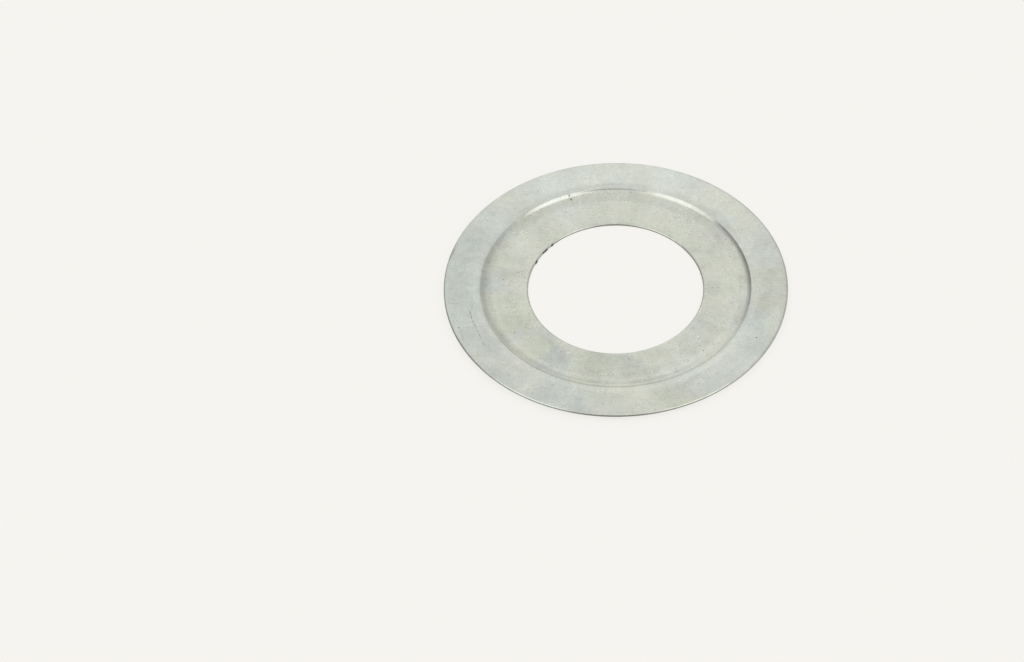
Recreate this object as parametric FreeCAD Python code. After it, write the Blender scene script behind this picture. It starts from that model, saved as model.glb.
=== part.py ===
import FreeCAD, Part
import math
import os

# Cover washer: one ring blanked, pierced and pressed from thin zinc-plated steel sheet.
# A flat hub lies round the shaft hole. A shallow pressed step lifts a wide flat flange above
# it, so that the flange shields a bearing face and the hub alone is clamped.
# Lengths are millimetres. The Z axis is the axis of the ring, and Z = 0 is the underside
# of the hub, on which the washer rests.

# The sheet and the blank
sheet_thickness = 0.5
outer_diameter = 80.0
bore_diameter = 40.8

# The pressed step, measured on the upper face
step_height = 1.0             # rise from the hub to the flange
step_diameter = 62.86         # where the wall of the step is steepest
root_radius = 3.4             # hollow curve from the hub up into the wall
crown_inner_radius = 0.1      # sharp turn from the wall to the flange, on its inner side

# The sheet springs back beside the step, so both flats curl slightly into it
hub_curl_radius = 13.0
hub_slope = math.radians(10.5)      # of the hub where the root begins
flange_curl_radius = 16.0
flange_slope = math.radians(7.0)    # of the flange where the crown ends

# The corner that the blanking tool rolls down at both sheared edges, always on the upper
# face, as shares of the sheet's thickness
edge_roll_depth = 0.22
edge_roll_width = 0.66


def point(radius, height):
    return FreeCAD.Vector(radius, 0, height)


class Bend:
    """One round stretch of the section: a circle's centre, and the slopes where it starts
    and ends. A hollow bend has its centre above the sheet, a crowned one below it."""

    def __init__(self, centre, radius, hollow, start_slope, end_slope):
        self.centre = centre
        self.radius = radius
        self.side = 1 if hollow else -1
        self.start_slope = start_slope
        self.end_slope = end_slope

    def at(self, slope, depth=0.0):
        """The point where the sheet has this slope, at a depth below the upper face."""
        reach = self.radius + self.side * depth
        return self.centre + point(self.side * reach * math.sin(slope),
                                   -self.side * reach * math.cos(slope))

    def edge(self, depth):
        middle = (self.start_slope + self.end_slope) / 2
        return Part.Arc(self.at(self.start_slope, depth),
                        self.at(middle, depth),
                        self.at(self.end_slope, depth)).toShape()


def wall_slope():
    """The slope that the wall needs for the four bends to add up to the step's height."""
    crown_radius = crown_inner_radius + sheet_thickness
    curls = (hub_curl_radius * (1 - math.cos(hub_slope))
             + flange_curl_radius * (1 - math.cos(flange_slope)))
    level = root_radius * math.cos(hub_slope) + crown_radius * math.cos(flange_slope)
    return math.acos((level - (step_height - curls)) / (root_radius + crown_radius))


def step_bends():
    """The bends of the upper face in order from the hub to the flange, each tangent to
    the next, placed so that the steepest point lies on the step diameter."""
    crown_radius = crown_inner_radius + sheet_thickness
    slope = wall_slope()

    root_centre = point(step_diameter / 2 - root_radius * math.sin(slope), 0)
    root_centre.z = (sheet_thickness + hub_curl_radius
                     - (hub_curl_radius - root_radius) * math.cos(hub_slope))
    root = Bend(root_centre, root_radius, True, hub_slope, slope)

    hub_centre = root.at(hub_slope) - point(hub_curl_radius * math.sin(hub_slope),
                                            -hub_curl_radius * math.cos(hub_slope))
    hub_curl = Bend(hub_centre, hub_curl_radius, True, 0.0, hub_slope)

    crown_centre = root.at(slope) + point(crown_radius * math.sin(slope),
                                          -crown_radius * math.cos(slope))
    crown = Bend(crown_centre, crown_radius, False, slope, flange_slope)

    flange_centre = crown.at(flange_slope) + point(
        flange_curl_radius * math.sin(flange_slope),
        -flange_curl_radius * math.cos(flange_slope))
    flange_curl = Bend(flange_centre, flange_curl_radius, False, flange_slope, 0.0)
    return [hub_curl, root, crown, flange_curl]


def sheared_edge(radius, outwards, top):
    """The cut edge from the upper face down to the lower one: the rolled corner, then the
    upright cut. outwards is +1 on the rim and -1 in the bore."""
    width = edge_roll_width * sheet_thickness
    depth = edge_roll_depth * sheet_thickness
    roll_radius = (width ** 2 + depth ** 2) / (2 * depth)
    half_turn = math.asin(width / roll_radius) / 2
    roll_start = point(radius - outwards * width, top)
    roll_middle = roll_start + point(outwards * roll_radius * math.sin(half_turn),
                                     -roll_radius * (1 - math.cos(half_turn)))
    roll_end = point(radius, top - depth)
    return [Part.Arc(roll_start, roll_middle, roll_end).toShape(),
            Part.makeLine(roll_end, point(radius, top - sheet_thickness))]


def section():
    """The closed outline of the sheet on one side of the axis."""
    bends = step_bends()
    hub_top = sheet_thickness
    flange_top = sheet_thickness + step_height
    bore_edges = sheared_edge(bore_diameter / 2, -1, hub_top)
    rim_edges = sheared_edge(outer_diameter / 2, 1, flange_top)

    def first(edge):
        return edge.Vertexes[0].Point

    def last(edge):
        return edge.Vertexes[-1].Point

    upper = [Part.makeLine(first(bore_edges[0]), bends[0].at(0.0))]
    upper += [bend.edge(0.0) for bend in bends]
    upper += [Part.makeLine(bends[-1].at(0.0), first(rim_edges[0]))]
    lower = [Part.makeLine(last(bore_edges[-1]), bends[0].at(0.0, sheet_thickness))]
    lower += [bend.edge(sheet_thickness) for bend in bends]
    lower += [Part.makeLine(bends[-1].at(0.0, sheet_thickness), last(rim_edges[-1]))]
    return Part.Wire(Part.sortEdges(upper + rim_edges + lower + bore_edges)[0])


def cover_washer():
    """The section turned once round the axis."""
    foot = FreeCAD.Vector(0, 0, 0)
    axis = FreeCAD.Vector(0, 0, 1)
    return Part.Face(section()).revolve(foot, axis, 360)


os.makedirs("parts", exist_ok=True)
washer = cover_washer()
washer.exportStep("parts/cover_washer.step")
print("wall slope", round(math.degrees(wall_slope()), 1), "degrees")
print("volume", round(washer.Volume, 1), "cubic mm")
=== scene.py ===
import bpy
import math
from mathutils import Matrix, Vector


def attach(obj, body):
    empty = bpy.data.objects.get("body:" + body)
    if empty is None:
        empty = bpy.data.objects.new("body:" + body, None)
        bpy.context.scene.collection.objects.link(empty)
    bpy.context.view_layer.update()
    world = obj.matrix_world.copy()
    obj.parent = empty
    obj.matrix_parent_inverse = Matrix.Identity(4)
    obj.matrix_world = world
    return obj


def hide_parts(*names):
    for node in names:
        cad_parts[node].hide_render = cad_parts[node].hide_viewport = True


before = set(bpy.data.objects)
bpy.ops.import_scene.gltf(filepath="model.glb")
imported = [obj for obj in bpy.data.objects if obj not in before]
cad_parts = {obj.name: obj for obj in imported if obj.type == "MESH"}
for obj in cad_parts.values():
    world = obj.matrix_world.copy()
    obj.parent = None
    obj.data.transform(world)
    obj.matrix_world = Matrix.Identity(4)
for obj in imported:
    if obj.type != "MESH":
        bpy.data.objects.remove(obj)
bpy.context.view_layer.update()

millimetre = 0.001


# Node building

class Link:
    # wraps a socket, so that sums of sockets and numbers add Math nodes
    def __init__(self, nodes, socket):
        self.nodes = nodes
        self.socket = socket

    def __add__(self, other):
        return self.nodes.maths("ADD", self, other)

    def __radd__(self, other):
        return self.nodes.maths("ADD", other, self)

    def __sub__(self, other):
        return self.nodes.maths("SUBTRACT", self, other)

    def __rsub__(self, other):
        return self.nodes.maths("SUBTRACT", other, self)

    def __mul__(self, other):
        return self.nodes.maths("MULTIPLY", self, other)

    def __truediv__(self, other):
        return self.nodes.maths("DIVIDE", self, other)

    def __rtruediv__(self, other):
        return self.nodes.maths("DIVIDE", other, self)


class Nodes:
    # one tree, of a material, the world or a Geometry Nodes modifier
    def __init__(self, tree):
        self.tree = tree

    def add(self, kind, settings=None, inputs=None):
        # a node with its settings made first, then the values or links of its sockets
        node = self.tree.nodes.new(kind)
        for name, value in (settings or {}).items():
            if name == "stops":
                self.setStops(node.color_ramp, value)
            else:
                setattr(node, name, value)
        for name, value in (inputs or {}).items():
            if isinstance(value, Link):
                self.tree.links.new(value.socket, node.inputs[name])
            else:
                node.inputs[name].default_value = value
        return node

    def out(self, kind, settings=None, inputs=None, output=0):
        return Link(self, self.add(kind, settings, inputs).outputs[output])

    def setStops(self, ramp, stops):
        while len(ramp.elements) < len(stops):
            ramp.elements.new(1.0)
        for element, (place, colour) in zip(ramp.elements, stops):
            element.position = place
            element.color = colour

    def maths(self, operation, *values):
        return self.out("ShaderNodeMath", {"operation": operation}, dict(enumerate(values)))

    def smooth(self, value, low, high, start=0.0, end=1.0):
        # a soft step from start to end while value goes from low to high
        return self.out("ShaderNodeMapRange", {"interpolation_type": "SMOOTHSTEP"},
                        {"Value": value, "From Min": low, "From Max": high,
                         "To Min": start, "To Max": end})

    def split(self, vector):
        node = self.add("ShaderNodeSeparateXYZ", None, {0: vector})
        return [Link(self, node.outputs[i]) for i in range(3)]

    def join(self, x, y, z):
        return self.out("ShaderNodeCombineXYZ", None, {0: x, 1: y, 2: z})

    def vector(self, operation, *values):
        return self.out("ShaderNodeVectorMath", {"operation": operation}, dict(enumerate(values)))

    def scaled(self, vector, factor):
        return self.out("ShaderNodeVectorMath", {"operation": "SCALE"},
                        {0: vector, "Scale": factor})

    def mixColour(self, factor, first, second, blend="MIX"):
        return self.out("ShaderNodeMix", {"data_type": "RGBA", "blend_type": blend},
                        {0: factor, 6: first, 7: second}, 2)

    def noise(self, where, size, detail=2.0, roughness=0.5):
        # size is the size of its features, in the units of where
        return self.out("ShaderNodeTexNoise", {"noise_dimensions": "3D"},
                        {"Vector": where, "Scale": 1.0 / size, "Detail": detail,
                         "Roughness": roughness})

    def drift(self, where, size, detail):
        # a noise in each direction, centred on nothing
        swirl = self.out("ShaderNodeTexNoise", None,
                         {"Vector": where, "Scale": 1.0 / size, "Detail": detail}, "Color")
        return self.vector("SUBTRACT", swirl, (0.5, 0.5, 0.5))

    def link(self, source, socket):
        self.tree.links.new(source.socket if isinstance(source, Link) else source, socket)


# The sheet's section, swept round the axis

washerSheet = {                 # millimetres and degrees
    "thickness": 0.5,
    "outerDiameter": 80.0,
    "boreDiameter": 40.8,
    "stepHeight": 1.0,
    "stepDiameter": 62.86,
    "rootRadius": 3.4,
    "crownInnerRadius": 0.1,
    "hubCurlRadius": 13.0,
    "hubCurlAngle": 10.5,
    "flangeCurlRadius": 16.0,
    "flangeCurlAngle": 7.0,
    "rollDepth": 0.155,         # the corner rolled down at the sheared edges
    "rollWidth": 0.44,
    "stepsAround": 900,
    "stepsPerRing": 9,          # rings across each flat
    "hubWaviness": 0.010,
    "flangeWaviness": 0.030,
    "waveLength": 17.0,
    "seed": 4.0,
    "sharpAngle": 30.0,
}


def arcPoints(centre, radius, side, startSlope, endSlope, steps):
    # points of a bend where the sheet's slope runs between two values, in radians
    points = []
    for i in range(steps + 1):
        slope = startSlope + (endSlope - startSlope) * i / steps
        points.append((centre[0] + side * radius * math.sin(slope),
                       centre[1] - side * radius * math.cos(slope)))
    return points


def linePoints(start, end, steps):
    return [(start[0] + (end[0] - start[0]) * i / steps, start[1] + (end[1] - start[1]) * i / steps)
            for i in range(steps + 1)]


def washerSection(size):
    # the closed outline of the sheet on one side of the axis, as (radius, height)
    thickness = size["thickness"]
    hubSlope = math.radians(size["hubCurlAngle"])
    flangeSlope = math.radians(size["flangeCurlAngle"])
    root = size["rootRadius"]
    crown = size["crownInnerRadius"] + thickness
    hubCurl = size["hubCurlRadius"]
    flangeCurl = size["flangeCurlRadius"]
    curlRise = hubCurl * (1 - math.cos(hubSlope)) + flangeCurl * (1 - math.cos(flangeSlope))
    level = root * math.cos(hubSlope) + crown * math.cos(flangeSlope)
    wallSlope = math.acos((level - (size["stepHeight"] - curlRise)) / (root + crown))

    rootCentre = (size["stepDiameter"] / 2 - root * math.sin(wallSlope),
                  thickness + hubCurl - (hubCurl - root) * math.cos(hubSlope))
    hubCentre = (rootCentre[0] - (hubCurl - root) * math.sin(hubSlope), thickness + hubCurl)
    crownCentre = (rootCentre[0] + (root + crown) * math.sin(wallSlope),
                   rootCentre[1] - (root + crown) * math.cos(wallSlope))
    flangeCentre = (crownCentre[0] + (flangeCurl - crown) * math.sin(flangeSlope),
                    crownCentre[1] - (flangeCurl - crown) * math.cos(flangeSlope))
    bends = [(hubCentre, hubCurl, 1, 0.0, hubSlope, 5),
             (rootCentre, root, 1, hubSlope, wallSlope, 9),
             (crownCentre, crown, -1, wallSlope, flangeSlope, 8),
             (flangeCentre, flangeCurl, -1, flangeSlope, 0.0, 7)]

    def bendLine(depth):
        line = []
        for centre, radius, side, start, end, steps in bends:
            reach = radius + side * depth
            fewer = max(3, round(steps * (0.6 if depth else 1.0)))
            line += arcPoints(centre, reach, side, start, end, fewer)
        return line

    boreRadius, rimRadius = size["boreDiameter"] / 2, size["outerDiameter"] / 2
    hubTop, flangeTop = thickness, thickness + size["stepHeight"]
    rings = size["stepsPerRing"]

    def rolledCorner(radius, outwards, top):
        # one arc from the flat down to the upright cut
        width, depth = size["rollWidth"], size["rollDepth"]
        arcRadius = (width ** 2 + depth ** 2) / (2 * depth)
        turns = [math.asin(width / arcRadius) * i / 7 for i in range(8)]
        return [(radius - outwards * (width - arcRadius * math.sin(turn)),
                 top - arcRadius * (1 - math.cos(turn))) for turn in turns]

    boreRoll = rolledCorner(boreRadius, -1, hubTop)[::-1]
    rimRoll = rolledCorner(rimRadius, 1, flangeTop)
    upper = bendLine(0.0)
    lower = bendLine(thickness)
    outline = boreRoll + linePoints(boreRoll[-1], upper[0], rings) + upper
    outline += linePoints(upper[-1], rimRoll[0], rings) + rimRoll
    outline += linePoints(rimRoll[-1], (rimRadius, flangeTop - thickness), 3)
    outline += linePoints((rimRadius, flangeTop - thickness), lower[-1], rings) + lower[::-1]
    outline += linePoints(lower[0], (boreRadius, 0.0), rings)
    outline += linePoints((boreRadius, 0.0), boreRoll[0], 3)

    tidy = []
    for point in outline:
        if not tidy or math.dist(point, tidy[-1]) > 1e-5:
            tidy.append(point)
    if math.dist(tidy[0], tidy[-1]) < 1e-5:
        tidy.pop()
    return tidy


burrs = {                       # torn metal on the bore's cut, in degrees, and millimetres into the hole
    "backBurr": {"azimuth": 134.2, "halfWidth": 2.0, "reach": 0.13},
    "middleBurr": {"azimuth": 140.4, "halfWidth": 2.6, "reach": 0.12},
    "thinBurr": {"azimuth": 143.0, "halfWidth": 2.0, "reach": 0.05},
    "leftBurr": {"azimuth": 152.8, "halfWidth": 2.7, "reach": 0.17},
}


def angleFrom(nodes, x, y, azimuth):
    # how far round the axis a place lies from an azimuth, on either side, in radians
    middle = math.radians(azimuth)
    aside = nodes.maths("ARCTAN2", y * math.cos(middle) - x * math.sin(middle),
                        x * math.cos(middle) + y * math.sin(middle))
    return nodes.maths("ABSOLUTE", aside)


def besideBurr(nodes, x, y, burr):
    # 1 at a burr's azimuth, down to 0 at its sides
    half = math.radians(burr["halfWidth"])
    return nodes.smooth(angleFrom(nodes, x, y, burr["azimuth"]), half * 0.2, half, 1.0, 0.0)


def sweepTree():
    # turns a section round the axis: it is drawn with its distance from the path circle
    # along X and its height down along Y, which is how the sweep lays a profile
    tree = bpy.data.node_groups.new("sheetRound", "GeometryNodeTree")
    sides = tree.interface
    sides.new_socket("Section", in_out="INPUT", socket_type="NodeSocketGeometry")
    sides.new_socket("Sheet", in_out="OUTPUT", socket_type="NodeSocketGeometry")
    for name, kind in (("Steps around", "Int"), ("Path radius", "Float"), ("Hub waviness", "Float"),
                       ("Flange waviness", "Float"), ("Wave length", "Float"),
                       ("Step radius", "Float"), ("Seed", "Float"),
                       ("Sharp angle", "Float"), ("Finish", "Material")):
        sides.new_socket(name, in_out="INPUT", socket_type="NodeSocket" + kind)
    nodes = Nodes(tree)
    given = tree.nodes.new("NodeGroupInput")

    def value(name):
        return Link(nodes, given.outputs[name])

    around = nodes.out("GeometryNodeCurvePrimitiveCircle", {"mode": "RADIUS"},
                       {"Resolution": value("Steps around"), "Radius": value("Path radius")})
    upright = nodes.out("GeometryNodeSetCurveNormal", {"mode": "Z_UP"}, {"Curve": around})
    profile = nodes.out("GeometryNodeMeshToCurve", None, {"Mesh": value("Section")})
    swept = nodes.out("GeometryNodeCurveToMesh", None,
                      {"Curve": upright, "Profile Curve": profile, "Fill Caps": False})

    place = nodes.out("GeometryNodeInputPosition")
    x, y = nodes.split(place)[:2]
    radius = nodes.maths("SQRT", x * x + y * y)
    onFlange = nodes.smooth(radius, value("Step radius") * 0.95, value("Step radius") * 1.05)
    waves = nodes.out("ShaderNodeTexNoise", {"noise_dimensions": "4D"},
                      {"Vector": nodes.join(x, y, 0.0), "W": value("Seed"),
                       "Scale": 1.0 / value("Wave length"), "Detail": 1.0})
    height = (waves - 0.5) * 2.0 * (value("Hub waviness") * (1 - onFlange)
                                    + value("Flange waviness") * onFlange)
    bulge = 0.0
    for burr in burrs.values():
        bulge = bulge + besideBurr(nodes, x, y, burr) * burr["reach"] * millimetre
    bulge = bulge * nodes.smooth(radius, value("Path radius"), value("Path radius") + 0.2 * millimetre,
                                 1.0, 0.0)
    inwards = bulge / radius
    waved = nodes.out("GeometryNodeSetPosition", None,
                      {"Geometry": swept, "Offset": nodes.join(0.0 - x * inwards, 0.0 - y * inwards, height)})

    bend = nodes.out("GeometryNodeInputMeshEdgeAngle")
    sharp = nodes.out("FunctionNodeCompare", {"operation": "GREATER_THAN"},
                      {0: bend, 1: value("Sharp angle")})
    rounded = nodes.out("GeometryNodeSetShadeSmooth", {"domain": "FACE"},
                        {"Geometry": waved, "Shade Smooth": True})
    creased = nodes.out("GeometryNodeSetShadeSmooth", {"domain": "EDGE"},
                        {"Geometry": rounded, "Selection": sharp, "Shade Smooth": False})
    real = nodes.out("GeometryNodeRealizeInstances", None, {"Geometry": creased})
    finished = nodes.out("GeometryNodeSetMaterial", None,
                         {"Geometry": real, "Material": value("Finish")})
    result = tree.nodes.new("NodeGroupOutput")
    nodes.link(finished, result.inputs["Sheet"])
    return tree


def setInputs(modifier, values):
    # a modifier's inputs go by the identifiers of the tree's sockets
    for item in modifier.node_group.interface.items_tree:
        if item.in_out == "INPUT" and item.name in values:
            modifier[item.identifier] = values[item.name]


def makeSheet(size, finish):
    section = washerSection(size)
    pathRadius = size["boreDiameter"] / 2
    outline = bpy.data.meshes.new("washerSection")
    count = len(section)
    outline.from_pydata([((radius - pathRadius) * millimetre, -height * millimetre, 0.0)
                         for radius, height in section],
                        [(i, (i + 1) % count) for i in range(count)], [])
    draft = bpy.data.objects.new("washerSection", outline)
    bpy.context.scene.collection.objects.link(draft)
    modifier = draft.modifiers.new("sheetRound", "NODES")
    modifier.node_group = sweepTree()
    setInputs(modifier, {
        "Steps around": size["stepsAround"],
        "Path radius": pathRadius * millimetre,
        "Hub waviness": size["hubWaviness"] * millimetre,
        "Flange waviness": size["flangeWaviness"] * millimetre,
        "Wave length": size["waveLength"] * millimetre,
        "Step radius": size["stepDiameter"] / 2 * millimetre,
        "Seed": size["seed"],
        "Sharp angle": math.radians(size["sharpAngle"]),
        "Finish": finish,
    })
    graph = bpy.context.evaluated_depsgraph_get()
    mesh = bpy.data.meshes.new_from_object(draft.evaluated_get(graph))
    mesh.name = "coverWasherSheet"
    bpy.data.objects.remove(draft)
    sheet = bpy.data.objects.new("coverWasherSheet", mesh)
    bpy.context.scene.collection.objects.link(sheet)
    print("sheet swept,", len(section), "points round the section,", len(mesh.polygons), "faces")
    return sheet


# The zinc finish

zincFinish = {                  # lengths in millimetres, colours linear
    "filmColours": ((0.0, (0.550, 0.584, 0.490, 1.0)),      # yellowish where the passivation is thin
                    (0.35, (0.567, 0.586, 0.510, 1.0)),
                    (0.65, (0.562, 0.586, 0.530, 1.0)),
                    (1.0, (0.545, 0.586, 0.541, 1.0))),     # and bluish where it is thick
    "hubFilm": 0.36,            # mean thickness, from 0 to 1 in the colours above
    "flangeFilm": 0.62,
    "filmSpread": 1.75,
    "filmSize": 11.0,
    "swirlSize": 5.0,           # of the drift that warps the film, and how far it goes
    "filmWarp": 9.0,
    "flangeShade": 1.03,
    "stainFeather": 0.5,        # softness of the edges of stains and of the painted highlight and shade lines
    "paintedLineFeather": 0.10,
    # bare steel of the sheared cuts, made darker still as painted shade
    "cutSteelAndShade": (0.220, 0.220, 0.205, 1.0),
    "tornSteel": (0.070, 0.070, 0.063, 1.0),
    "pitColour": (0.280, 0.280, 0.250, 1.0),
    "dirtColour": (0.110, 0.110, 0.092, 1.0),
    "blush": (1.012, 0.995, 1.003, 1.0),    # pinkish patches over it
    "blushSize": 6.0,
    "blushRange": (0.46, 0.60),
    "blushShift": (31.0, 17.0, 0.0),
    "cloudSize": 9.0,
    "cloudDepth": 0.55,
    "mottleSize": 1.5,
    "mottleDepth": 0.215,
    "grainSize": 0.42,
    "grainDepth": 0.17,
    "clusterSize": 5.0,         # light flecks gather in clusters, dark specks lie anywhere
    "clusterRange": (0.47, 0.62),
    "fleckSpacing": 0.70,
    "fleckRadius": 0.22,
    "fleckDraw": (0.3, 0.7),    # a cell's draw below the first value leaves it empty
    "fleckDepth": 0.48,
    "speckSpacing": 1.1,
    "speckRadius": 0.22,
    "speckDraw": (0.4, 0.7),
    "speckShift": (11.3, 5.7, 0.0),
    "speckDepth": 0.37,
    "flangeFlecks": 0.65,       # share of that on the flange
    "pitSpacing": 4.5,
    "pitRadius": 0.20,
    "pitDraw": (0.45, 0.55),
    "raggedSize": 0.4,          # of the wobble in the outlines of flecks, specks and pits
    "raggedness": 0.5,
    "shearSize": 0.35,          # of the streaks down the sheared cuts
    "roughness": 0.18,
    "roughnessRange": 0.06,
    "grainHeight": 0.0012,
    "pitHeight": 0.006,
    "scratchHeight": 0.010,
    "underside": 70.0,          # shifts the pattern between the upper and the lower face
}

# Areas of the upper face: azimuth and half width in degrees, inner and outer radius in
# millimetres, what they add to the film and to the brightness
stains = {
    "hubBlueFront": (236.0, 8.0, 22.8, 31.0, 0.55, -0.06),
    "hubBlueLeft": (172.0, 8.0, 26.8, 31.0, 0.50, -0.03),
    "hubBlueStreak": (209.5, 3.5, 24.5, 29.5, 0.5, -0.02),
    "hubYellow": (195.0, 11.0, 20.5, 30.0, -0.35, 0.01),
    "hubYellowFront": (221.0, 6.0, 23.0, 30.0, -0.30, 0.01),
    "hubBrownFront": (264.0, 19.0, 20.5, 31.0, 0.05, -0.04),
    "hubVioletFront": (219.0, 9.0, 19.5, 23.2, 0.40, -0.06),
    "hubGreyRight": (310.0, 15.0, 20.5, 29.5, 0.12, 0.03),
    "hubGreyBack": (110.0, 9.0, 21.0, 29.0, 0.20, 0.02),
    # the next six areas have no film: they only make the face lighter or darker there
    "hubLighterLeft": (154.0, 9.0, 20.0, 28.0, 0.0, 0.06),
    "hubLighterRight": (7.0, 9.0, 20.0, 29.0, 0.0, 0.045),
    "hubDarkerRight": (34.0, 8.0, 21.0, 27.5, 0.0, -0.045),
    "flangeLighterBack": (75.0, 48.0, 33.0, 41.0, 0.0, 0.05),
    "flangeLighterFront": (313.0, 11.0, 32.5, 41.0, 0.0, 0.06),
    "flangeDarkerLeft": (226.0, 8.0, 32.5, 41.0, 0.0, -0.045),
    "flangeDark": (182.0, 33.0, 31.5, 41.0, 0.35, -0.04),
    "flangeBlueFront": (247.0, 9.0, 31.5, 41.0, 0.40, -0.02),
    "flangeOlive": (279.0, 17.0, 31.5, 41.0, -0.35, 0.0),
    "flangeOliveRight": (354.0, 10.0, 31.5, 41.0, -0.35, -0.06),
    "flangeBlueRight": (338.0, 6.0, 31.5, 36.5, 0.30, -0.03),
}

paintedBendLines = {                  # thin light and dark lines beside the step at the front: painted highlights and painted shade along the bends
    "rootDark": (265.0, 42.0, 29.45, 29.95, 0.0, -0.06),
    "rootLight": (264.0, 26.0, 30.20, 30.42, 0.0, 0.06),
    "crownLight": (240.0, 40.0, 31.75, 31.98, 0.0, 0.06),
    "crownDark": (238.0, 24.0, 32.10, 32.30, 0.0, -0.09),
}

marks = {                       # scratches and scuffs on the upper face, points in millimetres
    "flangeScratch": {"points": ((-34.1, -6.6), (-33.7, -8.9), (-32.6, -12.0), (-31.8, -14.8),
                                 (-30.9, -17.4)),
                      "width": 0.20, "dash": 0.9, "strength": 0.85},
    "rimScratch": {"points": ((-36.5, -11.2), (-35.7, -15.5)), "width": 0.18, "dash": 0.8, "strength": 0.5},
    "stepFlaw": {"points": ((-9.6, 30.1), (-9.3, 29.3), (-9.0, 28.5)),
                 "width": 0.24, "dash": 5.0, "strength": 0.7},
    "crossScratch": {"points": ((-38.9, -3.9), (-36.6, -4.0)), "width": 0.14, "dash": 1.2, "strength": 0.45},
    "hubDent": {"points": ((-23.9, -13.0), (-23.5, -12.6)), "width": 0.30, "dash": 5.0, "strength": 0.9},
    "rimScuff": {"points": ((-38.7, 10.0), (-37.3, 14.0)), "width": 0.55, "dash": 0.5, "strength": 0.8},
}

dirt = {                        # the larger dark specks: place and radius in millimetres, strength
    "flangeRight": (31.3, -18.3, 0.26, 0.85),
    "flangeRightInner": (29.5, -18.2, 0.22, 0.6),
    "flangeLeft": (-36.8, -11.5, 0.24, 0.7),
    "flangeBackLeft": (-29.3, 22.3, 0.24, 0.6),
    "hubFrontRight": (19.0, -20.7, 0.25, 0.75),
    "hubRight": (22.3, -11.0, 0.25, 0.5),
    "hubFront": (13.7, -18.9, 0.22, 0.5),
    "hubFrontLeft": (-23.9, -12.8, 0.26, 0.65),
    "hubLeft": (-26.0, 3.9, 0.24, 0.6),
    "boreLeft": (-21.1, 4.3, 0.23, 0.6),
    "stepBack": (-9.5, 29.8, 0.30, 0.9),
    "stepFoot": (-9.1, 28.9, 0.32, 0.85),
}


def lineDistance(nodes, spot, start, end):
    # distance from a spot to the line between two points on the face
    run = (end[0] - start[0], end[1] - start[1], 0.0)
    length = run[0] ** 2 + run[1] ** 2
    away = nodes.vector("SUBTRACT", spot, (start[0], start[1], 0.0))
    dot = nodes.out("ShaderNodeVectorMath", {"operation": "DOT_PRODUCT"}, {0: away, 1: run}, "Value")
    along = nodes.out("ShaderNodeMath", {"operation": "DIVIDE", "use_clamp": True}, {0: dot, 1: length})
    nearest = nodes.scaled(run, along)
    return nodes.out("ShaderNodeVectorMath", {"operation": "DISTANCE"}, {0: away, 1: nearest}, "Value")


def markMask(nodes, spot, onTop):
    # 1 in the middle of each mark, broken into dashes by a noise
    flat = nodes.vector("MULTIPLY", spot, (1.0, 1.0, 0.0))
    total = 0.0
    for mark in marks.values():
        points = mark["points"]
        near = lineDistance(nodes, flat, points[0], points[1])
        for start, end in zip(points[1:], points[2:]):
            near = nodes.maths("MINIMUM", near, lineDistance(nodes, flat, start, end))
        dashes = nodes.smooth(nodes.noise(flat, mark["dash"], 3.0, 0.75), 0.38, 0.62, 0.05, 1.0)
        near = near + (nodes.noise(flat, 0.6, 1.0) - 0.5) * mark["width"] * 1.5
        total = nodes.maths("MAXIMUM", total, nodes.smooth(near, mark["width"] * 0.3, mark["width"],
                                                           mark["strength"], 0.0) * dashes)
    return total * onTop


def dirtMask(nodes, spot, onTop):
    # 1 in the middle of each of the larger specks
    flat = nodes.vector("MULTIPLY", spot, (1.0, 1.0, 0.0))
    ragged = (nodes.noise(flat, 0.4, 1.0) - 0.5) * 0.25
    total = 0.0
    for across, along, radius, strength in dirt.values():
        near = nodes.out("ShaderNodeVectorMath", {"operation": "DISTANCE"},
                         {0: flat, 1: (across, along, 0.0)}, "Value") + ragged
        total = nodes.maths("MAXIMUM", total, nodes.smooth(near, radius * 0.3, radius, strength, 0.0))
    return total * onTop


def spots(nodes, spot, spacing, radius):
    # scattered round spots: how far inside one, and two random numbers of it
    cells = nodes.add("ShaderNodeTexVoronoi", {"voronoi_dimensions": "2D", "feature": "F1"},
                      {"Vector": spot, "Scale": 1.0 / spacing})
    inside = nodes.smooth(Link(nodes, cells.outputs["Distance"]), 0.2 * radius / spacing,
                          radius / spacing, 1.0, 0.0)
    chance = nodes.split(Link(nodes, cells.outputs["Color"]))
    return inside, chance[0], chance[1]


def ringAreas(nodes, areas, place, onTop, feather):
    # how much the areas shift the film's thickness and the shade
    x, y = nodes.split(place)[:2]
    radius = nodes.maths("SQRT", x * x + y * y)
    film, shade = 0.0, 0.0
    for azimuth, halfWidth, inner, outer, areaFilm, areaShade in areas.values():
        half = math.radians(halfWidth)
        across = nodes.smooth(angleFrom(nodes, x, y, azimuth), half * 0.7, half * 1.2, 1.0, 0.0)
        along = (nodes.smooth(radius, inner - feather, inner + feather)
                 * nodes.smooth(radius, outer - feather, outer + feather, 1.0, 0.0))
        inside = across * along * onTop
        film = film + inside * areaFilm
        shade = shade + inside * areaShade
    return film, shade


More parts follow.
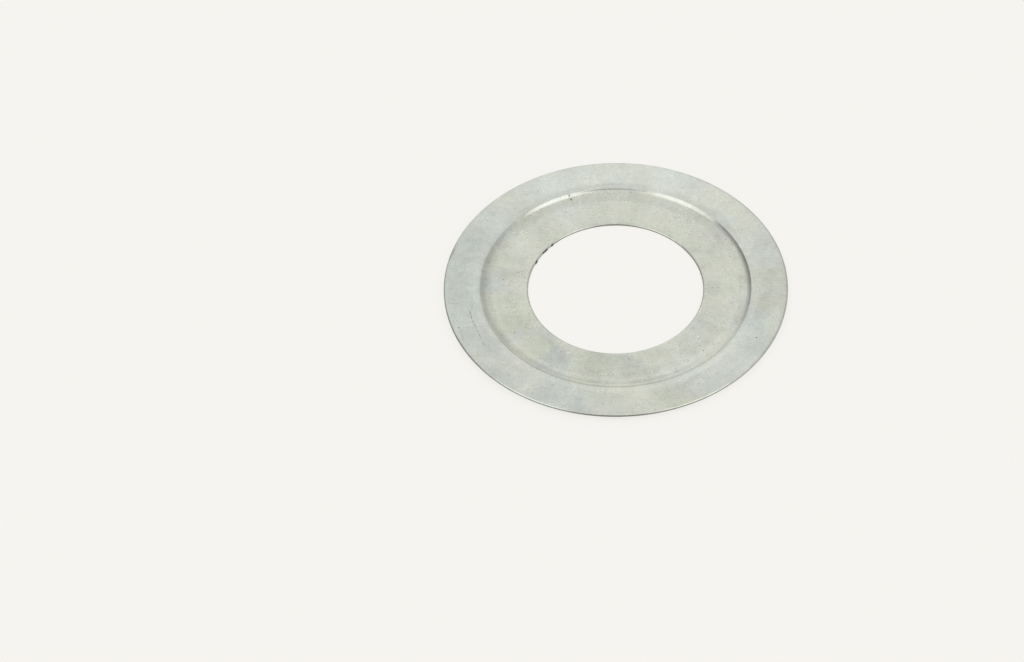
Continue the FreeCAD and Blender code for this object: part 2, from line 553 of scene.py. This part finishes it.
def zincPlate(look, size):
    material = bpy.data.materials.new("satinZincPlate")
    material.use_nodes = True
    material.node_tree.nodes.clear()
    nodes = Nodes(material.node_tree)
    coordinates = nodes.add("ShaderNodeTexCoord")
    spot = nodes.scaled(Link(nodes, coordinates.outputs["Object"]), 1.0 / millimetre)
    x, y, z = nodes.split(spot)
    facing = nodes.split(Link(nodes, coordinates.outputs["Normal"]))[2]
    radius = nodes.maths("SQRT", x * x + y * y)
    onTop = nodes.maths("GREATER_THAN", facing, -0.2)
    place = nodes.join(x + (1 - onTop) * look["underside"], y, z)
    onFlange = nodes.smooth(radius, size["stepDiameter"] / 2 - 0.6, size["stepDiameter"] / 2 + 0.2)
    onCut = 1 - nodes.smooth(nodes.maths("ABSOLUTE", facing), 0.15, 0.5)

    # the passivation's film tints it from yellowish to bluish
    drift = nodes.drift(place, look["swirlSize"], 3.0)
    warped = nodes.vector("ADD", place, nodes.scaled(drift, look["filmWarp"]))
    edged = nodes.vector("ADD", spot, nodes.scaled(drift, look["filmWarp"] * 0.6))
    stain, stainShade = ringAreas(nodes, stains, edged, onTop, look["stainFeather"])
    # painted highlights and painted shade in thin lines along the step's bends
    paintedLineShade = ringAreas(nodes, paintedBendLines, spot, onTop, look["paintedLineFeather"])[1]
    film = (look["hubFilm"] + onFlange * (look["flangeFilm"] - look["hubFilm"]) + stain
            + (nodes.noise(warped, look["filmSize"], 3.0, 0.55) - 0.5) * look["filmSpread"])
    colour = nodes.out("ShaderNodeValToRGB", {"stops": look["filmColours"]}, {0: film})
    blushed = nodes.smooth(nodes.noise(nodes.vector("ADD", warped, look["blushShift"]),
                                       look["blushSize"]), *look["blushRange"])
    colour = nodes.mixColour(blushed, colour, nodes.mixColour(1.0, colour, look["blush"], "MULTIPLY"))

    # clouding, grain, light flecks and dark specks
    clouds = nodes.noise(place, look["cloudSize"], 3.0, 0.7)
    mottle = nodes.noise(place, look["mottleSize"], roughness=0.7)
    grain = nodes.noise(place, look["grainSize"], 1.0)
    ragged = nodes.vector("ADD", place, nodes.scaled(nodes.drift(place, look["raggedSize"], 1.0),
                                                     look["raggedness"]))
    gathered = nodes.smooth(nodes.noise(place, look["clusterSize"], 3.0, 0.6), *look["clusterRange"],
                            0.08, 1.0)
    fleck, fleckShade, fleckChance = spots(nodes, ragged, look["fleckSpacing"], look["fleckRadius"])
    drawn = nodes.smooth(fleckChance, *look["fleckDraw"])
    fleckTone = fleck * gathered * drawn * (0.4 + fleckShade * 0.6)
    aside = nodes.vector("ADD", ragged, look["speckShift"])
    speck, speckShade, speckChance = spots(nodes, aside, look["speckSpacing"], look["speckRadius"])
    speckTone = speck * nodes.smooth(speckChance, *look["speckDraw"]) * (0.3 + speckShade * 0.7)
    pit, pitShade, pitChance = spots(nodes, ragged, look["pitSpacing"], look["pitRadius"])
    shade = (1.0 + onFlange * (look["flangeShade"] - 1.0) + stainShade + paintedLineShade
             + (clouds - 0.5) * look["cloudDepth"] + (mottle - 0.5) * look["mottleDepth"]
             + (grain - 0.5) * look["grainDepth"]
             + (fleckTone * look["fleckDepth"] - speckTone * look["speckDepth"])
             * (1 - onFlange * (1 - look["flangeFlecks"])))
    colour = nodes.mixColour(1.0, colour, nodes.join(shade, shade, shade), "MULTIPLY")

    scar = markMask(nodes, spot, onTop)
    torn = 0.0
    for burr in burrs.values():
        torn = nodes.maths("MAXIMUM", torn, besideBurr(nodes, x, y, burr))
    torn = torn * nodes.smooth(radius, size["boreDiameter"] / 2, size["boreDiameter"] / 2 + 0.2, 1.0, 0.0)
    drawn = nodes.smooth(pitChance, *look["pitDraw"])
    pits = nodes.maths("MAXIMUM", pit * drawn * (0.3 + pitShade * 0.5), scar)
    colour = nodes.mixColour(pits, colour, look["pitColour"])
    colour = nodes.mixColour(dirtMask(nodes, spot, onTop), colour, look["dirtColour"])
    shear = nodes.noise(nodes.vector("MULTIPLY", place, (1.0, 1.0, 0.15)), look["shearSize"], 3.0)
    cutDepth = onCut * nodes.smooth(shear, 0.3, 0.7, 0.7, 1.0)
    # the sheared cuts take the bare steel's colour, which is partly painted shade
    colour = nodes.mixColour(cutDepth, colour, look["cutSteelAndShade"])
    colour = nodes.mixColour(nodes.smooth(torn, 0.05, 0.9), colour, look["tornSteel"])

    roughness = (look["roughness"] + (clouds - 0.5) * look["roughnessRange"] * 4
                 + pits * 0.2 + onCut * 0.15)
    height = ((grain - 0.5) * look["grainHeight"] * 2 + (mottle - 0.5) * look["grainHeight"] * 2
              - pits * look["pitHeight"] - scar * look["scratchHeight"]
              + (shear - 0.5) * onCut * look["scratchHeight"])
    relief = nodes.out("ShaderNodeBump", None, {"Strength": 1.0, "Distance": millimetre,
                                                "Height": height})
    surface = nodes.add("ShaderNodeBsdfPrincipled", None,
                        {"Base Color": colour, "Metallic": 1.0, "Roughness": roughness,
                         "Normal": relief})
    result = nodes.add("ShaderNodeOutputMaterial")
    nodes.link(surface.outputs["BSDF"], result.inputs["Surface"])
    return material


# Camera, floor and light

photoCamera = {                 # metres and degrees
    "place": (-0.02451, -0.50091, 0.54438),
    "elevation": 48.066,
    "roll": -2.328,
    "focalLength": 111.62,
    "sensorWidth": 36.0,
}


def makeCamera(setup):
    data = bpy.data.cameras.new("photoCamera")
    data.lens = setup["focalLength"]
    data.sensor_width = setup["sensorWidth"]
    data.clip_start = 0.01
    data.clip_end = 20.0
    camera = bpy.data.objects.new("photoCamera", data)
    bpy.context.scene.collection.objects.link(camera)
    tilt = Matrix.Rotation(math.radians(90.0 - setup["elevation"]), 4, "X")
    roll = Matrix.Rotation(math.radians(setup["roll"]), 4, "Z")
    camera.matrix_world = Matrix.Translation(setup["place"]) @ tilt @ roll
    bpy.context.scene.camera = camera


studio = {
    "floorSize": 3.0,
    "floorGap": 0.00002,        # keeps the floor off the hub's underside
    "paper": (0.922, 0.904, 0.871, 1.0),
    "shadowShare": 0.2,         # how much of the paper takes light and shadow, where the rest glows
    "floorGlow": 1.050,
    "worldLight": 0.992,
}


def makeFloor(setup):
    half = setup["floorSize"] / 2
    mesh = bpy.data.meshes.new("paleFloor")
    low = -setup["floorGap"]
    mesh.from_pydata([(-half, -half, low), (half, -half, low), (half, half, low), (-half, half, low)],
                     [], [(0, 1, 2, 3)])
    floor = bpy.data.objects.new("paleFloor", mesh)
    bpy.context.scene.collection.objects.link(floor)
    material = bpy.data.materials.new("palePaper")
    material.use_nodes = True
    material.node_tree.nodes.clear()
    nodes = Nodes(material.node_tree)
    paper = nodes.add("ShaderNodeBsdfDiffuse", None, {"Color": setup["paper"]})
    glow = nodes.add("ShaderNodeEmission", None, {"Color": setup["paper"], "Strength": setup["floorGlow"]})
    clear = nodes.add("ShaderNodeBsdfTransparent")
    ray = nodes.add("ShaderNodeLightPath")
    seen = nodes.maths("MAXIMUM", Link(nodes, ray.outputs["Is Camera Ray"]),
                       Link(nodes, ray.outputs["Is Glossy Ray"]))
    level = nodes.add("ShaderNodeMixShader", None,
                      {0: seen * (1 - setup["shadowShare"]),
                       1: Link(nodes, paper.outputs[0]), 2: Link(nodes, glow.outputs[0])})
    below = nodes.out("ShaderNodeNewGeometry", None, None, "Backfacing")
    oneSided = nodes.add("ShaderNodeMixShader", None,
                         {0: below, 1: Link(nodes, level.outputs[0]), 2: Link(nodes, clear.outputs[0])})
    result = nodes.add("ShaderNodeOutputMaterial")
    nodes.link(oneSided.outputs[0], result.inputs["Surface"])
    mesh.materials.append(material)


darkCards = {                   # soft dark cards round the studio, in degrees
    "leftCard": {"azimuth": 162.7, "elevation": 7.5, "reach": 60.4, "strength": 0.761},
    "rightCard": {"azimuth": 33.0, "elevation": 21.4, "reach": 52.3, "strength": 0.328},
    "frontCard": {"azimuth": 267.9, "elevation": 42.5, "reach": 33.2, "strength": 1.5},
}


def towards(azimuth, elevation):
    # the direction seen from the washer, 0 degrees of azimuth being its right side
    around, up = math.radians(azimuth), math.radians(elevation)
    return Vector((math.cos(around) * math.cos(up), math.sin(around) * math.cos(up), math.sin(up)))


def makeWorld(setup, cards):
    world = bpy.data.worlds.new("studioWorld")
    bpy.context.scene.world = world
    world.use_nodes = True
    world.node_tree.nodes.clear()
    nodes = Nodes(world.node_tree)
    direction = nodes.out("ShaderNodeTexCoord")
    strength = setup["worldLight"]
    for card in cards.values():
        near = nodes.out("ShaderNodeVectorMath", {"operation": "DOT_PRODUCT"},
                         {0: direction, 1: towards(card["azimuth"], card["elevation"])}, "Value")
        strength = strength - nodes.smooth(near, math.cos(math.radians(card["reach"])), 1.0,
                                           0.0, card["strength"])
    light = nodes.add("ShaderNodeBackground", None,
                      {"Color": (1.0, 1.0, 1.0, 1.0), "Strength": nodes.maths("MAXIMUM", strength, 0.02)})
    paper = nodes.add("ShaderNodeBackground", None, {"Color": setup["paper"], "Strength": 1.0})
    ray = nodes.add("ShaderNodeLightPath")
    mixed = nodes.add("ShaderNodeMixShader", None,
                      {0: Link(nodes, ray.outputs["Is Camera Ray"]),
                       1: Link(nodes, light.outputs[0]), 2: Link(nodes, paper.outputs[0])})
    result = nodes.add("ShaderNodeOutputWorld")
    nodes.link(mixed.outputs[0], result.inputs["Surface"])


softboxes = {                   # degrees, metres and watts
    "keyLeft": {"azimuth": 184.3, "elevation": 62.1, "distance": 0.9, "size": 0.520, "power": 0.370},
    "keyRight": {"azimuth": 343.3, "elevation": 65.7, "distance": 0.9, "size": 0.440, "power": 0.290},
    "backPanel": {"azimuth": 85.8, "elevation": 42.9, "distance": 0.9, "size": 0.15, "power": 0.0085},
}


def makeSoftbox(name, setup):
    outwards = towards(setup["azimuth"], setup["elevation"])
    data = bpy.data.lights.new(name, "AREA")
    data.shape = "DISK"
    data.size = setup["size"]
    data.energy = setup["power"]
    lamp = bpy.data.objects.new(name, data)
    lamp.location = outwards * setup["distance"]
    lamp.rotation_euler = outwards.to_track_quat("Z", "Y").to_euler()
    bpy.context.scene.collection.objects.link(lamp)


finish = zincPlate(zincFinish, washerSheet)
sheet = makeSheet(washerSheet, finish)
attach(sheet, "root")
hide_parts("cover_washer")
print("sheet finished")

makeCamera(photoCamera)
makeFloor(studio)
makeWorld(studio, darkCards)
for name, setup in softboxes.items():
    makeSoftbox(name, setup)
bpy.context.scene.view_settings.view_transform = "Standard"
print("studio set")
